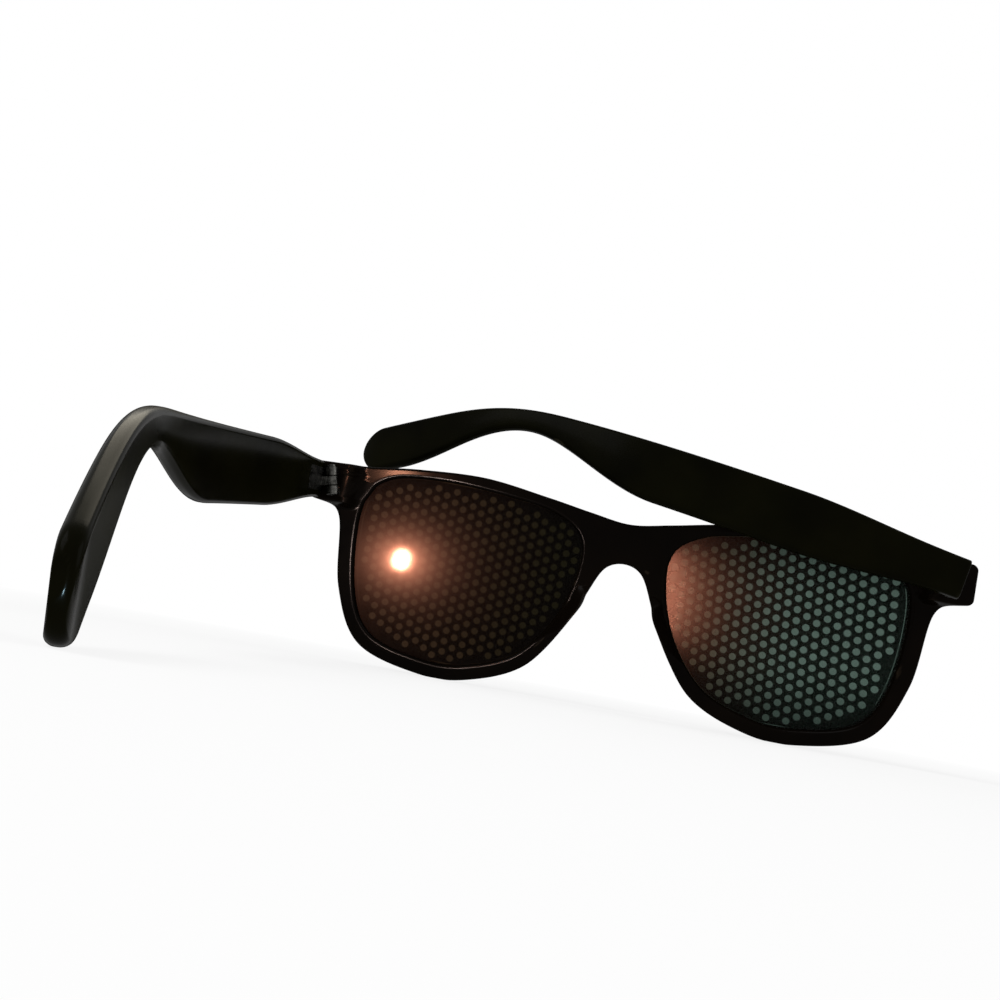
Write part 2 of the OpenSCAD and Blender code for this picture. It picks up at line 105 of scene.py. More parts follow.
END_BACK = float(surf(WRAP_R, HALF_W)) - END_T
LEAN_SHIFT = HINGE_H / 2 * math.tan(math.radians(HINGE_LEAN))
PIN = np.array([HALF_W - ARM_T - BARREL_R - PIN_GAP - LEAN_SHIFT,
                END_BACK - BARREL_R - PIN_GAP, (END_TOP + END_LOW) / 2])


def turned(p, centre, axis, degrees):
    """Points turned about an axis through a centre."""
    m = np.array(Matrix.Rotation(math.radians(degrees), 3, Vector(axis)))
    return (p - centre) @ m.T + centre


def placed(p, side, fold=0.0):
    """Points of the right half, folded if they are an arm's, on that side of the standing part, in metres."""
    p = np.array(p, float).reshape(-1, 3)
    if fold:
        lean = math.radians(HINGE_LEAN)
        p = turned(p, PIN, (math.sin(lean), 0, math.cos(lean)), -fold)
    p = p * (side, 1, 1) + (0, FRONT_T / 2, -ARCH_Z)
    return turned(p, np.zeros(3), (1, 0, 0), STAND_LEAN) / MM_PER_M


def spline(points, steps, closed):
    """Smooth curve through points."""
    p = np.array(points, float)
    n = len(p)
    if closed:
        ext = np.vstack([p[-1], p, p[0], p[1]])
        spans = n
    else:
        ext = np.vstack([2 * p[0] - p[1], p, 2 * p[-1] - p[-2]])
        spans = n - 1
    t = np.arange(steps)[:, None] / steps
    out = []
    for i in range(spans):
        a, b, c, d = ext[i:i + 4]
        square, cube = 2 * a - 5 * b + 4 * c - d, 3 * b - a - 3 * c + d
        out.append(0.5 * (2 * b + (c - a) * t + square * t ** 2 + cube * t ** 3))
    if not closed:
        out.append(p[-1:])
    return np.vstack(out)


def outward(p, d):
    """Points moved outwards from a clockwise loop."""
    t = np.roll(p, -1, 0) - np.roll(p, 1, 0)
    return p + d * np.stack([-t[:, 1], t[:, 0]], 1) / np.linalg.norm(t, axis=1)[:, None]


def lens_x(u):
    """Place across the right lens, from -1 at the nose to 1 at the temple."""
    return BRIDGE_W / 2 + LENS_W * (1 + u) / 2


OPENING = np.array([
    [-1, 0.54], [-0.745, 0.842], [-0.24, 0.957], [0.376, 1], [0.824, 0.904], [1, 0.54],
    [0.957, -0.297], [0.757, -0.8], [0.278, -1], [-0.125, -0.99], [-0.58, -0.751], [-0.91, -0.158]])
OPENING = np.stack([lens_x(OPENING[:, 0]), OPENING[:, 1] * LENS_H / 2], 1)
RIM = outward(OPENING, RIM_W)


def half_outline():
    """Outline of the right half from the brow's middle round the end piece to the nose arch."""
    brow = np.array([
        [0, BROW_Z - BROW_DIP], [lens_x(-1.04), BROW_Z - BROW_DIP * 0.75],
        [lens_x(-0.63), BROW_Z - BROW_DIP * 0.4], [lens_x(-0.04), BROW_Z],
        [lens_x(0.55), BROW_Z - END_DROP * 0.25], [lens_x(1.02), BROW_Z - END_DROP * 0.85],
        [HALF_W, END_TOP]])
    notch_x = lens_x(1) + RIM_W
    half = BRIDGE_W / 2
    under = np.array([
        [HALF_W, END_LOW], [(HALF_W + notch_x) / 2 + RIM_W * 0.47, END_LOW - RIM_W * 0.09],
        [notch_x + RIM_W * 0.35, END_LOW - RIM_W], *RIM[6:12],
        [half * 0.72, ARCH_Z - half * 0.77], [half * 0.42, ARCH_Z - half * 0.175], [0, ARCH_Z]])
    top = spline(np.vstack([brow[:0:-1] * (-1, 1), brow]), OUTLINE_STEPS, False)
    low = spline(np.vstack([under, under[-2::-1] * (-1, 1)]), OUTLINE_STEPS, False)
    top, low = top[(len(brow) - 1) * OUTLINE_STEPS:], low[:(len(under) - 1) * OUTLINE_STEPS + 1]
    top, low = (p[p[:, 0] < HALF_W - 2 * CORNER_R] for p in (top, low))
    high_corner, low_corner = np.array([HALF_W, END_TOP]), np.array([HALF_W, END_LOW])
    return np.vstack([top, corner_arc(top[-1], high_corner, low_corner),
                      corner_arc(high_corner, low_corner, low[0]), low])


def corner_arc(a, corner, b):
    """Points on an arc that touches the lines from a corner to a and to b."""
    u, v = (a - corner) / np.linalg.norm(a - corner), (b - corner) / np.linalg.norm(b - corner)
    area = abs(u[0] * v[1] - u[1] * v[0])
    middle = corner + (u + v) * CORNER_R / area
    first = corner + u * CORNER_R * (1 + u @ v) / area - middle
    angle = math.atan2(first[1], first[0]) - np.linspace(0, 1, CORNER_POINTS) * (math.pi - math.acos(u @ v))
    return middle + CORNER_R * np.stack([np.cos(angle), np.sin(angle)], 1)


def smooth_step(t):
    """From 0 to 1 with a gentle start and end."""
    t = np.clip(t, 0, 1)
    return t * t * (3 - 2 * t)


def in_box(verts, node):
    """Points kept inside the box of the CAD node that they stand for."""
    low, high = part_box(node)
    return np.clip(verts, np.array(low), np.array(high))


def bent(p, radius):
    """Flat points laid on an upright wall of that radius."""
    return np.stack([p[:, 0], surf(radius, p[:, 0]), p[:, 1]], 1)


def band(a, b, n):
    """Faces between two rings of n points that start at the points a and b."""
    return [(a + k, a + (k + 1) % n, b + (k + 1) % n, b + k) for k in range(n)]


def new_mesh(name, verts, faces, smooth_angle=40):
    """Object with one closed skin, smooth but for edges sharper than the angle."""
    me = bpy.data.meshes.new(name)
    me.from_pydata([tuple(v) for v in verts], [], [tuple(int(i) for i in f) for f in faces])
    me.validate()
    bm = bmesh.new()
    bm.from_mesh(me)
    bmesh.ops.remove_doubles(bm, verts=bm.verts, dist=MERGE)
    bmesh.ops.dissolve_degenerate(bm, dist=MERGE / 2, edges=bm.edges)
    bmesh.ops.delete(bm, geom=[v for v in bm.verts if not v.link_faces], context="VERTS")
    bmesh.ops.recalc_face_normals(bm, faces=bm.faces)
    for f in bm.faces:
        f.smooth = True
    for e in bm.edges:
        e.smooth = len(e.link_faces) == 2 and e.calc_face_angle(0) < math.radians(smooth_angle)
    bm.to_mesh(me)
    bm.free()
    ob = bpy.data.objects.new(name, me)
    bpy.context.scene.collection.objects.link(ob)
    return ob


def piece(ob, finish, body, slot, *nodes):
    """The object gets a material, rides on a body and stands for CAD nodes. The slot argument is not used."""
    ob.data.materials.append(finish)
    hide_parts(*nodes)
    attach(ob, body)


def back_depth(p, edge):
    """Depth of the front's back face. It thickens at the end piece and rises into the nose pad."""
    x, z = p[:, 0], p[:, 1]
    plain = surf(WRAP_R - FRONT_T, x)
    beside = smooth_step((x - lens_x(1) - LIP_R) / (RIM_W * 0.7))
    block = beside * smooth_step((z - END_LOW) / (RIM_W * 0.45) + 1)
    along = np.minimum(np.abs(z + PAD_DROP) / (PAD_H / 2), 1)
    nasal = smooth_step((lens_x(-0.35) - x) / (LENS_W * 0.12))
    ridge = (1 - along ** 2) ** 0.8 * np.maximum(1 - edge / PAD_W, 0) ** 0.75
    return plain + block * np.minimum(END_BACK - plain, 0) - PAD_OUT * nasal * ridge


def facing(points):
    """Points of the lens opening that face points of the outline, and the ways from them into the plastic."""
    centre = np.array([lens_x(0), END_LOW + EDGE_R / 2])
    inner = spline(OPENING, FACING_STEPS, True)
    out = outward(inner, 1) - inner
    around, wanted = (np.mod(np.arctan2(*(p - centre).T[::-1]), 2 * np.pi) for p in (inner, points))
    order = np.argsort(around)
    order = np.concatenate([order[-1:], order, order[:1]])
    turn = around[order]
    turn[0] -= 2 * np.pi
    turn[-1] += 2 * np.pi
    lip, way = (np.stack([np.interp(wanted, turn, q[order, k]) for k in (0, 1)], 1) for q in (inner, out))
    return lip, way / np.linalg.norm(way, axis=1)[:, None]


def outer_line():
    """Half outline closed along the mid-line, the ways from it into the plastic, and its own point count."""
    outline = half_outline()
    t = np.gradient(outline, axis=0)
    t[0], t[-1] = (1, 0), (-1, 0)
    inward = np.stack([t[:, 1], -t[:, 0]], 1) / np.linalg.norm(t, axis=1)[:, None]
    mid_z = np.linspace(ARCH_Z + EDGE_R, BROW_Z - BROW_DIP - EDGE_R, MIDDLE_POINTS + 2)[1:-1]
    outer = np.vstack([outline, np.stack([0 * mid_z, mid_z], 1)])
    return outer, np.vstack([inward, np.zeros((len(mid_z), 2))]), len(outline)


def front_frame():
    """The front with its end pieces, nose pads and lens grooves, as one loft round both openings."""
    outer, inward, n_out = outer_line()
    lip, way = facing(outer)
    near, far = lip + way * LIP_R, outer + inward * EDGE_R
    arc = np.radians(np.linspace(0, 90, EDGE_RINGS))
    shares = np.linspace(0, 1, FLAT_RINGS + 2)[1:-1]
    rings = []

    def front(p):
        return surf(WRAP_R, p[:, 0])

    def back(p):
        return back_depth(p, np.linalg.norm(p - outer, axis=1))

    def add(p, y):
        rings.append(np.stack([p[:, 0], y, p[:, 1]], 1))

    def add_edge(line, into, radius, face, sign, angles):
        for a in angles:
            p = line + into * radius * (1 - math.cos(a))
            add(p, face(p) + sign * radius * (1 - math.sin(a)))

    def add_flat(face, parts):
        for share in parts:
            p = near + (far - near) * share
            add(p, face(p))

    add_edge(lip, way, LIP_R, front, -1, arc)
    add_flat(front, shares)
    edge_first = len(rings)
    add_edge(outer, inward, EDGE_R, front, -1, arc[::-1])
    start, stop = rings[-1][:, 1], back(outer) + EDGE_R
    for share in (0.25, 0.5, 0.75):
        add(outer, start + (stop - start) * share)
    add_edge(outer, inward, EDGE_R, back, 1, arc)
    edge_last = len(rings) - 1
    add_flat(back, shares[::-1])
    add_edge(lip, way, LIP_R, back, 1, arc[::-1])
    deep = lip + way * GROOVE_D
    gap = LENS_T / 2 + LENS_FIT
    for line, radius in ((lip, MID_R - gap), (deep, MID_R - gap), (deep, MID_R + gap), (lip, MID_R + gap)):
        rings.append(bent(line, radius))

    verts, faces, n = np.vstack(rings), [], len(outer)
    for r in range(len(rings)):
        strip = band(r * n, (r + 1) % len(rings) * n, n)
        # The halves meet on the mid-line, so the outer edge has no faces there
        faces += strip[:n_out - 1] if edge_first <= r < edge_last else strip
    both = np.vstack([placed(verts, 1), placed(verts, -1)])
    faces += [tuple(i + len(verts) for i in f[::-1]) for f in faces]
    return new_mesh("front_shell", in_box(both, "front_frame"), faces, 50)


def lens(side, name, node):
    """Curved sheet of two skins, each in rings round its middle, joined at their edge."""
    loop = outward(spline(OPENING, OPENING_STEPS, True), GROOVE_D - LENS_FIT)
    centre = np.array([lens_x(0), 0.0])
    n = len(loop)
    verts, faces = [], []
    for radius in (MID_R + LENS_T / 2, MID_R - LENS_T / 2):
        for r in range(1, LENS_RINGS + 1):
            verts.append(bent(centre + (loop - centre) * r / LENS_RINGS, radius))
    for first in (0, LENS_RINGS):
        for r in range(first, first + LENS_RINGS - 1):
            faces += band(r * n, (r + 1) * n, n)
        faces.append(tuple(first * n + k for k in range(n)))
    faces += band((LENS_RINGS - 1) * n, (2 * LENS_RINGS - 1) * n, n)
    return new_mesh(name, in_box(placed(np.vstack(verts), side), node), faces)


def inside(spot, loop):
    """Whether a point lies within a closed loop."""
    a, b = loop, np.roll(loop, -1, 0)
    crosses = (a[:, 1] > spot[1]) != (b[:, 1] > spot[1])
    at = (b[:, 0] - a[:, 0]) * (spot[1] - a[:, 1]) / (b[:, 1] - a[:, 1] + TINY) + a[:, 0]
    return (crosses & (spot[0] < at)).sum() % 2 == 1


def dot_places(bound):
    """Middles of the dots within a loop, in tilted and staggered columns."""
    cols, rows = int(LENS_W / 2 / DOT_STEP) + 1, int(LENS_H / 2 / DOT_RISE) + 1
    tilt = math.radians(DOT_TILT)
    right, up = np.array([math.cos(tilt), math.sin(tilt)]), np.array([-math.sin(tilt), math.cos(tilt)])
    middle = np.array([lens_x(0), 0.0])
    spots = []
    for c in range(-cols, cols + 1):
        stagger = DOT_RISE / 2 if c % 2 else 0
        for r in range(-rows, rows + 1):
            spots.append(middle + right * c * DOT_STEP + up * (r * DOT_RISE + stagger))
    return [spot for spot in spots if inside(spot, bound)]


def filled(loops, name):
    """Points and faces of a flat sheet with an outline and holes."""
    curve = bpy.data.curves.new(name, "CURVE")
    curve.dimensions, curve.fill_mode = "2D", "BOTH"
    for loop in loops:
        s = curve.splines.new("POLY")
        s.points.add(len(loop) - 1)
        for point, (x, z) in zip(s.points, loop):
            point.co = (x, z, 0, 1)
        s.use_cyclic_u = True
    flat = bpy.data.objects.new(name + "_flat", curve)
    bpy.context.scene.collection.objects.link(flat)
    final = flat.evaluated_get(bpy.context.evaluated_depsgraph_get())
    me = final.to_mesh()
    points = np.array([v.co for v in me.vertices])
    faces = [tuple(f.vertices) for f in me.polygons]
    final.to_mesh_clear()
    bpy.data.objects.remove(flat)
    return points, faces


def lens_film(side, name, node):
    """Sheet with a staggered pattern of round holes, filled flat and then laid on the lens."""
    opening = spline(OPENING, OPENING_STEPS, True)
    outline, tight = outward(opening, -FILM_INSET), outward(opening, -FILM_TIGHT)
    # The gap at the rim only shows at the temple
    outline = tight + (outline - tight) * smooth_step((outline[:, :1] - lens_x(1) + GAP_START) / GAP_RUN)
    turn = np.radians(np.arange(DOT_SIDES) * 360 / DOT_SIDES)
    ring = DOT_D / 2 * np.stack([np.cos(turn), np.sin(turn)], 1)
    spots = dot_places(outward(opening, -FILM_EDGE - HOLE_D / 2))
    flat, faces = filled([outline] + [spot + ring for spot in spots], name)
    n = len(flat)
    verts = np.vstack([bent(flat, MID_R + LENS_T / 2 + rise) for rise in (0, FILM_T)])
    uses = Counter(frozenset(e) for f in faces for e in zip(f, f[1:] + f[:1]))
    rim = [tuple(e) for e, count in uses.items() if count == 1]
    faces += [tuple(i + n for i in f[::-1]) for f in faces] + [(a, b, b + n, a + n) for a, b in rim]
    return new_mesh(name, in_box(placed(verts, side), node), faces)


def eased(t):
    return float(smooth_step(t))


def turn_in(s):
    """Degrees that the arm has bowed inwards at a length s from its butt."""
    return ARM_BOW * eased((s - BOW_AT) / (ARM_LEN - BOW_AT))


def turn_up(s):
    """Degrees that the arm points up at s. The hook points down."""
    return ARM_RISE * eased(s / END_H) - HOOK_ANGLE * eased((s - BEND_AT) / BEND_LEN)


def arm_way(s):
    """Direction of the open arm's middle line at s."""
    a, b = math.radians(turn_in(s)), math.radians(turn_up(s))
    return np.array([-math.sin(a) * math.cos(b), -math.cos(a) * math.cos(b), math.sin(b)])


def arm_height(s):
    """Height of the arm at s: it grows from the butt, narrows to the neck and widens to the tip."""
    if s < FULL_AT:
        return END_H + (ARM_H - END_H) * eased(s / FULL_AT)
    if s < TAPER_AT:
        return ARM_H
    if s < NECK_AT:
        return ARM_H + (NECK_H - ARM_H) * eased((s - TAPER_AT) / TAPER_LEN)
    return NECK_H + (TIP_H - NECK_H) * eased((s - NECK_AT) / (ARM_LEN - NECK_AT - TIP_H))


def arm_section(s):
    """Ring of points across and up the arm at s: a rounded oblong that shrinks at the butt and the tip."""
    into_tip = max(1 - (ARM_LEN - s) / (TIP_H / 2), 0)
    share = math.sqrt(max(1 - into_tip ** 2, 0))
    inset = BUTT_R * (1 - math.sqrt(1 - max(1 - s / BUTT_R, 0) ** 2))
    h = max(arm_height(s) * share, TIP_LEAST) / 2 - inset
    w = (ARM_T + (TIP_T - ARM_T) * s / ARM_LEN) / 2 * (0.5 + 0.5 * share) - inset
    r = min(ARM_R, h * 0.6, w * 0.9)
    drop = 0 if s < TAPER_AT else (ARM_H - arm_height(s)) / 2
    ring = []
    for q in range(4):
        for k in range(CORNER_POINTS):
            t = math.radians(90 * q + 90 * k / (CORNER_POINTS - 1))
            x = (w - r if q in (0, 3) else r - w) + r * math.cos(t)
            z = (h - r if q < 2 else r - h) + r * math.sin(t)
            ring.append((x, z - drop))
    return ring


def arm(side, fold, name, node):
    """Arm with rounded edges, a softened butt end and a round tip, lofted along its middle line."""
    tip_r = TIP_H / 2
    ends = np.radians(np.linspace(0, 90, TIP_RINGS))
    places = np.concatenate([
        BUTT_R * (1 - np.cos(ends[::4])), np.linspace(2 * BUTT_R, ARM_LEN - tip_r, ARM_RINGS)[:-1],
        ARM_LEN - tip_r * (1 - np.sin(ends))])
    places = np.unique(np.round(places, 4))
    p = np.array([HALF_W - ARM_T / 2, END_BACK - BUTT_GAP, PIN[2]])
    verts, faces, n = [], [], 4 * CORNER_POINTS
    for i, s in enumerate(places):
        if i:
            p = p + (s - places[i - 1]) * arm_way((s + places[i - 1]) / 2)
        a = math.radians(turn_in(s))
        wide = np.array([math.cos(a), -math.sin(a), 0])
        tall = -np.cross(arm_way(s), wide)
        verts += [p + wide * x + tall * z for x, z in arm_section(s)]
    for i in range(len(places) - 1):
        faces += band(i * n, (i + 1) * n, n)
    faces.append(tuple(range(n)))
    faces.append(tuple((len(places) - 1) * n + k for k in range(n)))
    return new_mesh(name, in_box(placed(verts, side, fold), node), faces, 50)


# Materials
def material(name):
    m = bpy.data.materials.new(name)
    m.use_nodes = True
    return m, m.node_tree.nodes, m.node_tree.links, m.node_tree.nodes["Principled BSDF"]


def object_place(nodes):
    return nodes.new("ShaderNodeTexCoord").outputs["Object"]


def noise(nodes, links, scale, detail=3.0, stretch=(1, 1, 1)):
    mapping = nodes.new("ShaderNodeMapping")
    mapping.inputs["Scale"].default_value = stretch
    tex = nodes.new("ShaderNodeTexNoise")
    tex.inputs["Scale"].default_value = scale
    tex.inputs["Detail"].default_value = detail
    links.new(object_place(nodes), mapping.inputs["Vector"])
    links.new(mapping.outputs["Vector"], tex.inputs["Vector"])
    return tex.outputs["Fac"]


def ramp(nodes, links, value, low, high, start=0.3, end=0.7):
    """From a low to a high grey or colour as the value goes from start to end."""
    r = nodes.new("ShaderNodeValToRGB")
    for element, place, colour in zip(r.color_ramp.elements, (start, end), (low, high)):
        element.position = place
        element.color = (*colour, 1) if isinstance(colour, tuple) else (colour, colour, colour, 1)
    links.new(value, r.inputs["Fac"])
    return r.outputs["Color"]


def mixed(nodes, links, share, a, b):
    """Colour between a and b. Each of the three is an output or a constant."""
    m = nodes.new("ShaderNodeMix")
    m.data_type = "RGBA"
    for socket, value in ((m.inputs[0], share), (m.inputs[6], a), (m.inputs[7], b)):
        if isinstance(value, bpy.types.NodeSocket):
            links.new(value, socket)
        else:
            socket.default_value = (*value, 1) if isinstance(value, tuple) else value
    return m.outputs[2]


def times(nodes, links, a, b, operation="MULTIPLY"):
    m = nodes.new("ShaderNodeMath")
    m.operation = operation
    for socket, value in zip(m.inputs, (a, b)):
        links.new(value, socket)
    return m.outputs[0]


def across(nodes, links, axis, start, end):
    """From 0 to 1 between two places along an axis of the object, in metres."""
    split = nodes.new("ShaderNodeSeparateXYZ")
    links.new(object_place(nodes), split.inputs[0])
    m = nodes.new("ShaderNodeMapRange")
    m.interpolation_type = "SMOOTHSTEP"
    m.inputs["From Min"].default_value, m.inputs["From Max"].default_value = start, end
    links.new(split.outputs[axis], m.inputs["Value"])
    return m.outputs["Result"]


def edges(nodes, links, start=0.52, end=0.6):
    """Worn edges: where the surface turns outwards, broken up by noise."""
    turn = nodes.new("ShaderNodeNewGeometry").outputs["Pointiness"]
    return times(nodes, links, ramp(nodes, links, turn, 0.0, 1.0, start, end),
                 ramp(nodes, links, noise(nodes, links, 700, 4), 0.2, 1.0, 0.35, 0.65))


def bump(nodes, links, bsdf, value, strength, distance):
    b = nodes.new("ShaderNodeBump")
    b.inputs["Strength"].default_value = strength
    b.inputs["Distance"].default_value = distance
    links.new(value, b.inputs["Height"])
    links.new(b.outputs["Normal"], bsdf.inputs["Normal"])


def plastic(name, dark, light, worn, shine, gloss):
    """Dark moulded plastic: cloudy colour, rubbed edges, faint waves and a thin gloss over a satin body."""
    m, nodes, links, bsdf = material(name)
    body = ramp(nodes, links, noise(nodes, links, 60, 3), dark, light)
    rub = edges(nodes, links)
    links.new(mixed(nodes, links, rub, body, worn), bsdf.inputs["Base Color"])
    satin = ramp(nodes, links, noise(nodes, links, 350, 3), 0.18, 0.22)
    # Dull where it is seen from the side, so that its outline doesn't shine
    weight = nodes.new("ShaderNodeLayerWeight")
    weight.inputs["Blend"].default_value = 0.5
    side_on = ramp(nodes, links, weight.outputs["Facing"], 0.0, 1.0, 0.8, 0.97)
    dull = mixed(nodes, links, side_on, satin, (0.9, 0.9, 0.9))
    links.new(mixed(nodes, links, rub, dull, (0.4, 0.4, 0.4)), bsdf.inputs["Roughness"])
    bump(nodes, links, bsdf, noise(nodes, links, 90, 2), 0.03, 0.0003)
    bsdf.inputs["Specular IOR Level"].default_value = shine
    bsdf.inputs["Coat Weight"].default_value = gloss
    bsdf.inputs["Coat Roughness"].default_value = 0.1
    return m


def metal(name):
    """Plated hinge metal with rubbed edges and fine upright ribs, its colour darkened to near black in
    upright streaks as painted shade.
    """
    m, nodes, links, bsdf = material(name)
    streaks = noise(nodes, links, 1500, 3, (1, 1, 0.15))
    # Painted shade: the plated metal is coloured near black to dark grey, in upright streaks
    body = ramp(nodes, links, streaks, (0.0015, 0.0015, 0.0013), (0.05, 0.049, 0.045), 0.48, 0.74)
    worn = (0.1, 0.098, 0.09)
    links.new(mixed(nodes, links, edges(nodes, links), body, worn), bsdf.inputs["Base Color"])
    links.new(ramp(nodes, links, noise(nodes, links, 2500, 3), 0.22, 0.45), bsdf.inputs["Roughness"])
    bsdf.inputs["Metallic"].default_value = 1.0
    bump(nodes, links, bsdf, noise(nodes, links, 2200, 2, (1, 1, 0.1)), 0.5, 0.0002)
    return m


def smoked(name, tint, clear, index, gloss, rough):
    """Clear-coated tinted lens. The tint is a function that makes its colour."""
    m, nodes, links, bsdf = material(name)
    links.new(tint(nodes, links), bsdf.inputs["Base Color"])
    haze = ramp(nodes, links, noise(nodes, links, 500, 3), rough, rough + 0.04)
    links.new(haze, bsdf.inputs["Roughness"])
    bsdf.inputs["Transmission Weight"].default_value = clear
    bsdf.inputs["IOR"].default_value = index
    bsdf.inputs["Coat Weight"].default_value = gloss
    bsdf.inputs["Coat Roughness"].default_value = 0.12
    bump(nodes, links, bsdf, noise(nodes, links, 60, 2), 0.02, 0.0004)
    return m


def right_tint(nodes, links):
    """Olive at the nose to teal at the temple, darker below, and darker towards the top as painted shade
    under the folded arm.
    """
    olive, teal, dark = (0.045, 0.036, 0.022), (0.080, 0.122, 0.102), (0.002, 0.005, 0.003)
    side = mixed(nodes, links, across(nodes, links, "X", 0.017, 0.042), olive, teal)
    cloud = ramp(nodes, links, noise(nodes, links, 260, 3), 0.82, 1.0)
    # Painted shade: darker towards the lens's top edge, where the folded right arm lies over it
    top = ramp(nodes, links, across(nodes, links, "Z", -0.002, 0.0115), 1.0, 0.38, 0.0, 1.0)
    foot = ramp(nodes, links, across(nodes, links, "Z", -0.030, -0.015), 0.4, 1.0, 0.0, 1.0)
    light = times(nodes, links, times(nodes, links, top, foot), cloud)
    return mixed(nodes, links, light, dark, side)


def left_tint_painted_glow_and_shade(nodes, links):
    """Painted light: brown at the temple, a painted warm glow round the lens's bright reflection, to dark
    olive at the nose, with faint upright streaks. The whole tint is painted shade, darker than the right
    lens's.
    """
    brown, olive, dark = (0.034, 0.019, 0.010), (0.0085, 0.0078, 0.003), (0.006, 0.004, 0.002)
    side = mixed(nodes, links, across(nodes, links, "X", -0.055, -0.012), brown, olive)
    streak = ramp(nodes, links, noise(nodes, links, 900, 2, (1, 1, 0.25)), 0.7, 1.0)
    return mixed(nodes, links, streak, dark, side)


def film(name):
    """Matt dark green sheet with lighter edges and a fine grain."""
    m, nodes, links, bsdf = material(name)
    body = ramp(nodes, links, noise(nodes, links, 400, 3), (0.004, 0.014, 0.009), (0.010, 0.030, 0.019))
    worn = (0.05, 0.06, 0.055)
    links.new(mixed(nodes, links, edges(nodes, links), body, worn), bsdf.inputs["Base Color"])
    links.new(ramp(nodes, links, noise(nodes, links, 1500, 3), 0.4, 0.6), bsdf.inputs["Roughness"])
    bsdf.inputs["Specular IOR Level"].default_value = 0.08
    bump(nodes, links, bsdf, noise(nodes, links, 2500, 3), 0.15, 0.0001)
    return m


FRAME_PLASTIC = plastic(
    "frame_plastic", dark=(0.0018, 0.0011, 0.0007), light=(0.0042, 0.0026, 0.0015),
    worn=(0.02, 0.014, 0.009), shine=0.012, gloss=0.006)
ARM_PLASTIC = plastic(
    "arm_plastic", dark=(0.0016, 0.0015, 0.0005), light=(0.004, 0.0038, 0.001),
    worn=(0.02, 0.018, 0.011), shine=0.007, gloss=0.004)
SHADE_DARKENED_METAL = metal("hinge_metal")
# The left lens's tint is painted shade and a painted warm glow, darker and browner than the right lens's
LENSES = {
    1: smoked("right_lens_plastic", right_tint, clear=0.95, index=1.08, gloss=0.006, rough=0.25),
    -1: smoked("left_lens_painted_glow_and_shade", left_tint_painted_glow_and_shade, clear=0.92, index=1.06, gloss=0.03, rough=0.365)}
FILM = film("film")

# Pieces
piece(front_frame(), FRAME_PLASTIC, "front", "frame_plastic", "front_frame")
for side, word, fold in ((1, "right", FOLD_RIGHT), (-1, "left", FOLD_LEFT)):
    ob = lens(side, word + "_lens_shape", word + "_lens")
    piece(ob, LENSES[side], "front", "lens_plastic", word + "_lens")
    ob = lens_film(side, word + "_film_sheet", word + "_lens_film")
    piece(ob, FILM, "front", "film", word + "_lens_film")
    ob = arm(side, fold, word + "_arm_shape", word + "_temple")
    piece(ob, ARM_PLASTIC, word + "_arm", "arm_plastic", word + "_temple")
    for node in ("_front_hinge_leaf", "_temple_hinge_leaf", "_hinge_screw"):
        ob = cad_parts[word + node]
        ob.data.materials.clear()
        ob.data.materials.append(SHADE_DARKENED_METAL)


# Stage
def seen_ray(nodes, links):
    """1 for rays that show the background: from the camera, off gloss and through the lenses."""
    path = nodes.new("ShaderNodeLightPath").outputs
    gloss = times(nodes, links, path["Is Camera Ray"], path["Is Glossy Ray"], "MAXIMUM")
    return times(nodes, links, gloss, path["Is Transmission Ray"], "MAXIMUM")


def floor_finish():
    """Pale paper that fades into the white of the backdrop, in metres from the part's middle."""
    m, nodes, links, bsdf = material("pale_floor")
    bsdf.inputs["Base Color"].default_value = (0.9, 0.9, 0.9, 1)
    bsdf.inputs["Roughness"].default_value = 0.8
    bsdf.inputs["Specular IOR Level"].default_value = 0.0
    away = nodes.new("ShaderNodeVectorMath")
    away.operation = "LENGTH"
    links.new(object_place(nodes), away.inputs[0])
    white = nodes.new("ShaderNodeMapRange")
    for socket, value in (("From Min", 0.09), ("From Max", 0.3), ("To Min", 0.8), ("To Max", 1.0)):
        white.inputs[socket].default_value = value
    links.new(away.outputs["Value"], white.inputs["Value"])
    mix = nodes.new("ShaderNodeMixShader")
    links.new(times(nodes, links, white.outputs["Result"], seen_ray(nodes, links)), mix.inputs[0])
    links.new(bsdf.outputs[0], mix.inputs[1])
    links.new(nodes.new("ShaderNodeEmission").outputs[0], mix.inputs[2])
    links.new(mix.outputs[0], nodes["Material Output"].inputs["Surface"])
    return m


def paper_floor(low_z, reach=6.0):
    """Floor at a height, reaching that far in metres."""
    corners = [(x * reach, y * reach, low_z) for x, y in ((-1, -1), (1, -1), (1, 1), (-1, 1))]
    me = bpy.data.meshes.new("floor")
    me.from_pydata(corners, [], [(0, 1, 2, 3)])
    floor = bpy.data.objects.new("floor", me)
    bpy.context.scene.collection.objects.link(floor)
    me.materials.append(floor_finish())


def backdrop(glow=0.35):
    """White world that shows as 1 and lights the part with that glow."""
    world = bpy.data.worlds.new("studio")
    bpy.context.scene.world = world
    world.use_nodes = True
    nodes, links = world.node_tree.nodes, world.node_tree.links
    nodes["Background"].inputs["Color"].default_value = (1, 1, 1, 1)
    power = nodes.new("ShaderNodeMapRange")
    power.inputs["To Min"].default_value = glow
    power.inputs["To Max"].default_value = 1.0
    links.new(seen_ray(nodes, links), power.inputs["Value"])
    links.new(power.outputs["Result"], nodes["Background"].inputs["Strength"])


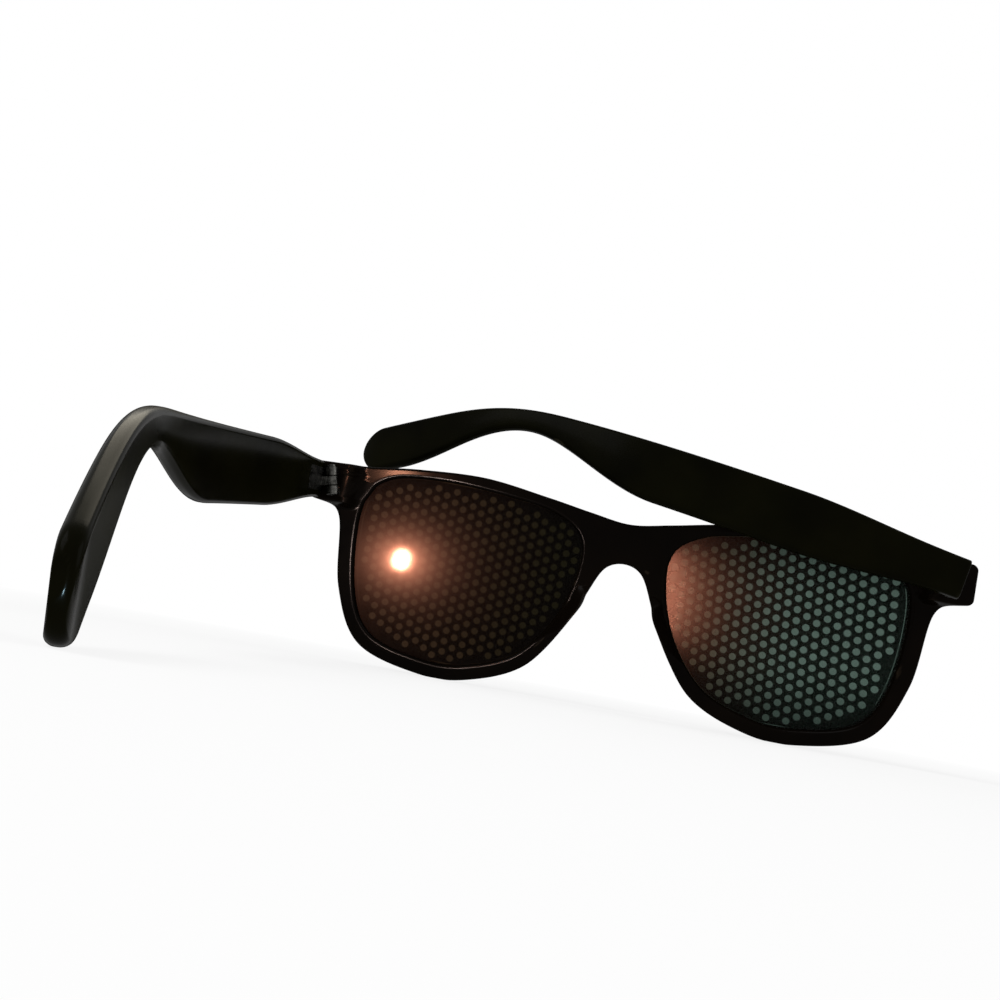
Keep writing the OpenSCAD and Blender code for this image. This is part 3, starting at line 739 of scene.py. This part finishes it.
def area(name, place, aim, size, watts, colour=(1, 1, 1), mirror=None):
    """Soft lamp. One with a mirror is oval and only seen as a reflection in that piece."""
    light = bpy.data.lights.new(name, "AREA")
    light.shape = "ELLIPSE" if mirror else "RECTANGLE"
    light.size, light.size_y = size
    light.energy, light.color = watts, colour
    ob = bpy.data.objects.new(name, light)
    bpy.context.scene.collection.objects.link(ob)
    ob.location = place
    ob.rotation_mode = "QUATERNION"
    ob.rotation_quaternion = (Vector(aim) - Vector(place)).to_track_quat("-Z", "Y")
    if mirror:
        ob.visible_camera = ob.visible_diffuse = ob.visible_transmission = False
        # Not seen through a lens from the far side
        light.cycles.max_bounces = 0
        shown = bpy.data.collections.new(name)
        shown.objects.link(bpy.data.objects[mirror])
        ob.light_linking.receiver_collection = shown


paper_floor(cad_box[0].z)
backdrop()
area("key", place=(-0.5, -0.5, 0.7), aim=(0, 0, 0), size=(0.5, 0.5), watts=4.5)
area("fill", place=(0.7, 0.1, 0.5), aim=(0, 0, 0), size=(0.5, 0.5), watts=2.5)
area("lens_glint", place=(-0.0442, -0.0274, -0.0123), aim=(-0.0510, -0.0068, -0.0084),
     size=(0.0034, 0.0052), watts=0.35, colour=(1.0, 0.36, 0.21), mirror="left_lens_shape")
area("bar_glint", place=(-0.0409, -0.0491, 0.0071), aim=(-0.0541, -0.0115, 0.0109),
     size=(0.004, 0.004), watts=0.042, colour=(1.0, 0.42, 0.25), mirror="front_shell")
area("rim_glint", place=(-0.0325, -0.0442, -0.0145), aim=(-0.0600, -0.0090, -0.0080),
     size=(0.003, 0.014), watts=0.09, colour=(1.0, 0.75, 0.66), mirror="front_shell")
area("arm_glint", place=(-0.0880, -0.0350, 0.1000), aim=(-0.0542, -0.1326, -0.0099),
     size=(0.12, 0.08), watts=0.15, colour=(1.0, 0.92, 0.74), mirror="left_arm_shape")
area("tip_glint", place=(-0.0395, -0.1656, -0.0322), aim=(-0.0440, -0.1551, -0.0288),
     size=(0.0025, 0.0025), watts=0.014, colour=(0.55, 0.85, 1.0), mirror="left_arm_shape")
area("nose_glint", place=(0.0070, -0.0400, -0.0125), aim=(0.0115, -0.0010, -0.0058),
     size=(0.005, 0.025), watts=0.16, colour=(1.0, 0.34, 0.2), mirror="right_lens_shape")

# Camera, from the fit of the outline to the photograph: a turn in radians about an axis, a shift
# in millimetres, and the focal length in pixels of a picture that is PHOTO_W wide
CAM_TURN = (1.3921994, 0.2370440, 0.0262084)
CAM_SHIFT = (29.055551, 15.079600, 236.852516)
CAM_FOCUS, PHOTO_W, SENSOR_W = 1011.49477, 1000, 36


def camera():
    """Camera that sees the part as the photograph does."""
    turn = Matrix.Rotation(Vector(CAM_TURN).length, 3, Vector(CAM_TURN))
    place = -(turn.transposed() @ Vector(CAM_SHIFT)) / MM_PER_M
    axes = (Matrix.Diagonal((1, -1, -1)) @ turn).transposed()
    data = bpy.data.cameras.new("camera")
    data.sensor_width = SENSOR_W
    data.lens = CAM_FOCUS / PHOTO_W * SENSOR_W
    data.clip_start = 0.01
    ob = bpy.data.objects.new("camera", data)
    bpy.context.scene.collection.objects.link(ob)
    ob.matrix_world = Matrix.Translation(place) @ axes.to_4x4()
    bpy.context.scene.camera = ob


camera()
view = bpy.context.scene.view_settings
view.view_transform = "Standard"
